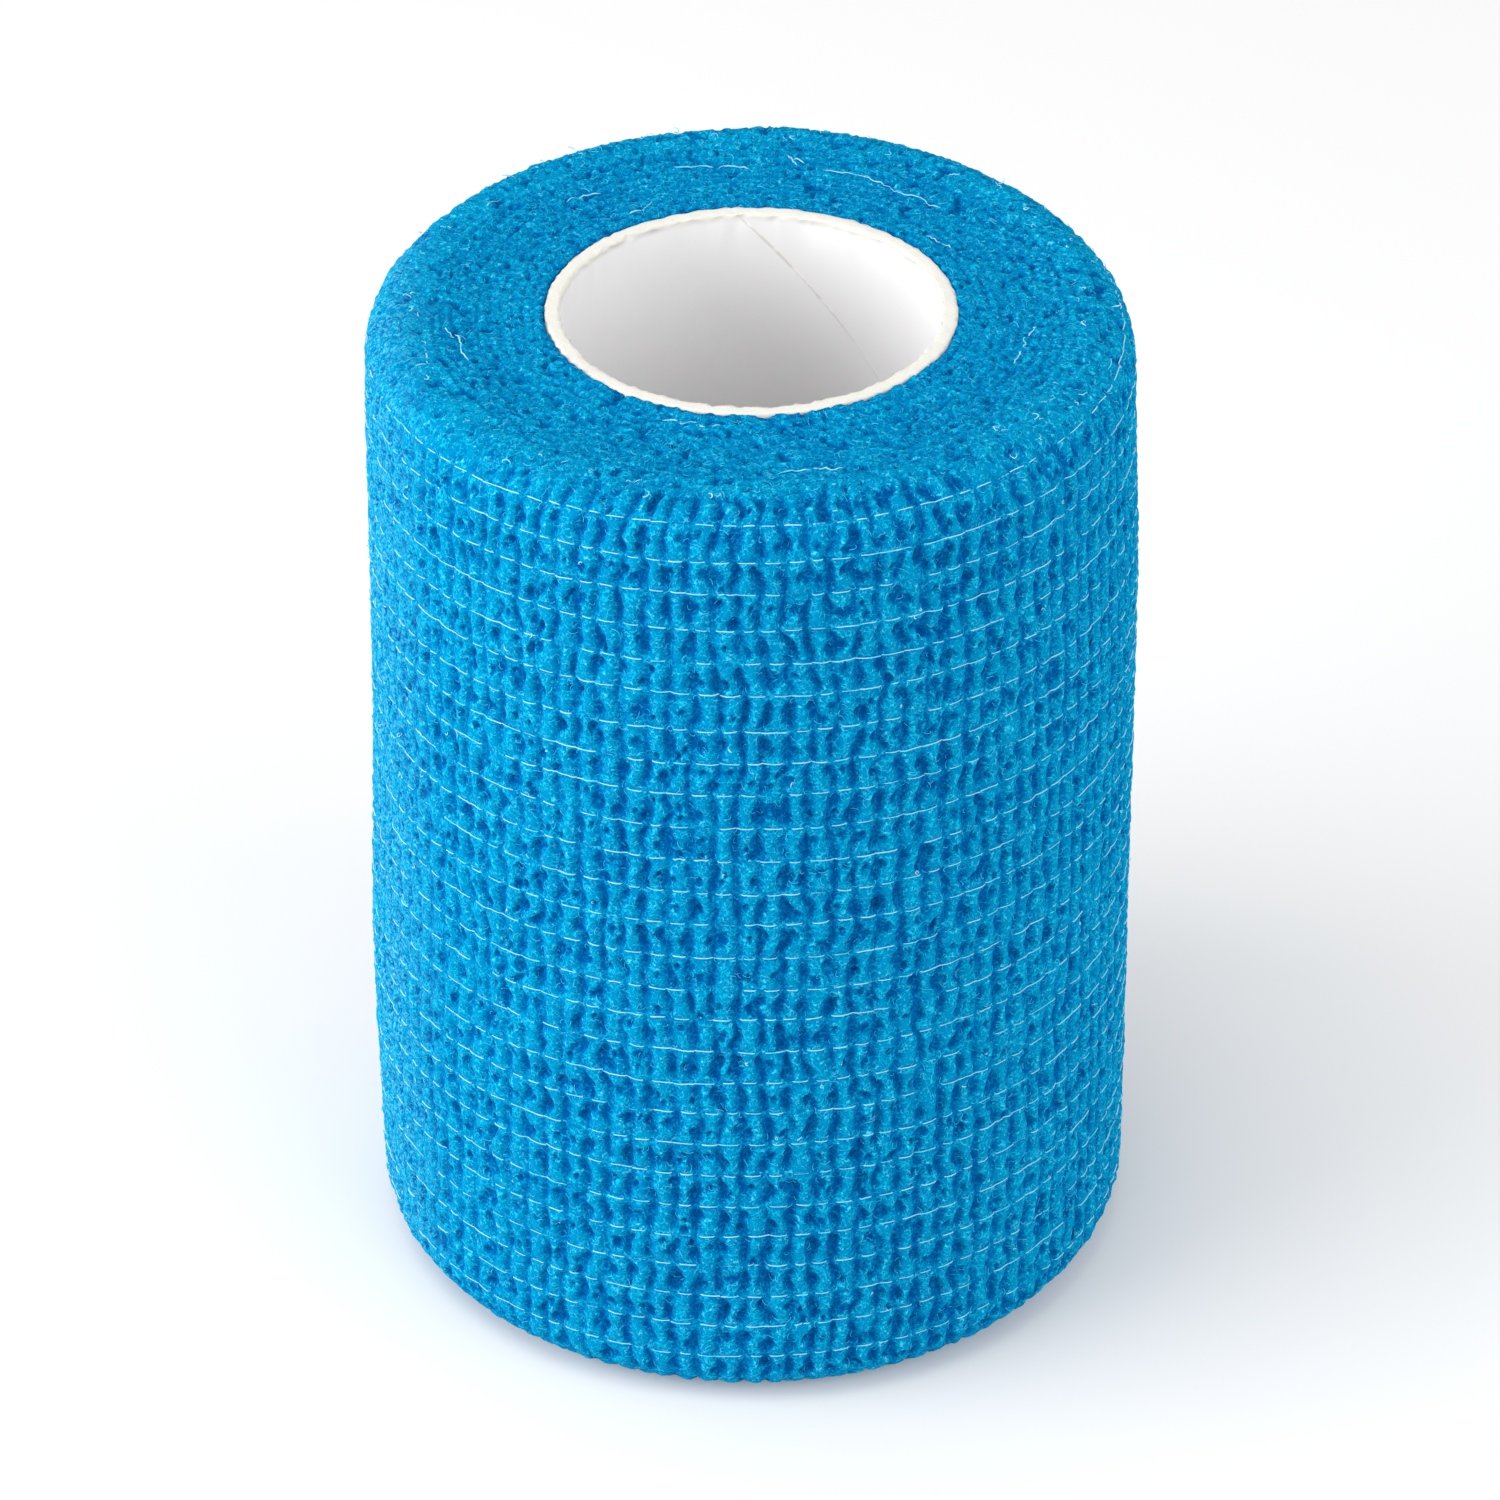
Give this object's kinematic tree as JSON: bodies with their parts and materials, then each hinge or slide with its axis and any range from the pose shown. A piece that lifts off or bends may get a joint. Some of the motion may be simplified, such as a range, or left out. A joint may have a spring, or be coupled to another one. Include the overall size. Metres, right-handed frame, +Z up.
{
  "type": "cohesive bandage roll",
  "caption": "Roll of crinkled elastic cohesive bandage wound on a paperboard tube, standing on its flat end.",
  "frame": {"origin": "middle of the underside, on the surface that the roll stands on", "axes": "+Z up along the axis of the roll, -Y towards the camera, +X to the right; the cut end of the cloth runs down the +Y side"},
  "size_m": [0.0549, 0.0546, 0.075],
  "materials": {
    "cloth": "matt crinkled nonwoven cloth with lengthwise white elastic threads",
    "paperboard": "matt off-white paperboard with a fuzzy cut rim"
  },
  "bodies": {
    "root": {"bandage_roll": "cloth", "core_tube": "paperboard"}
  },
  "joints": []
}
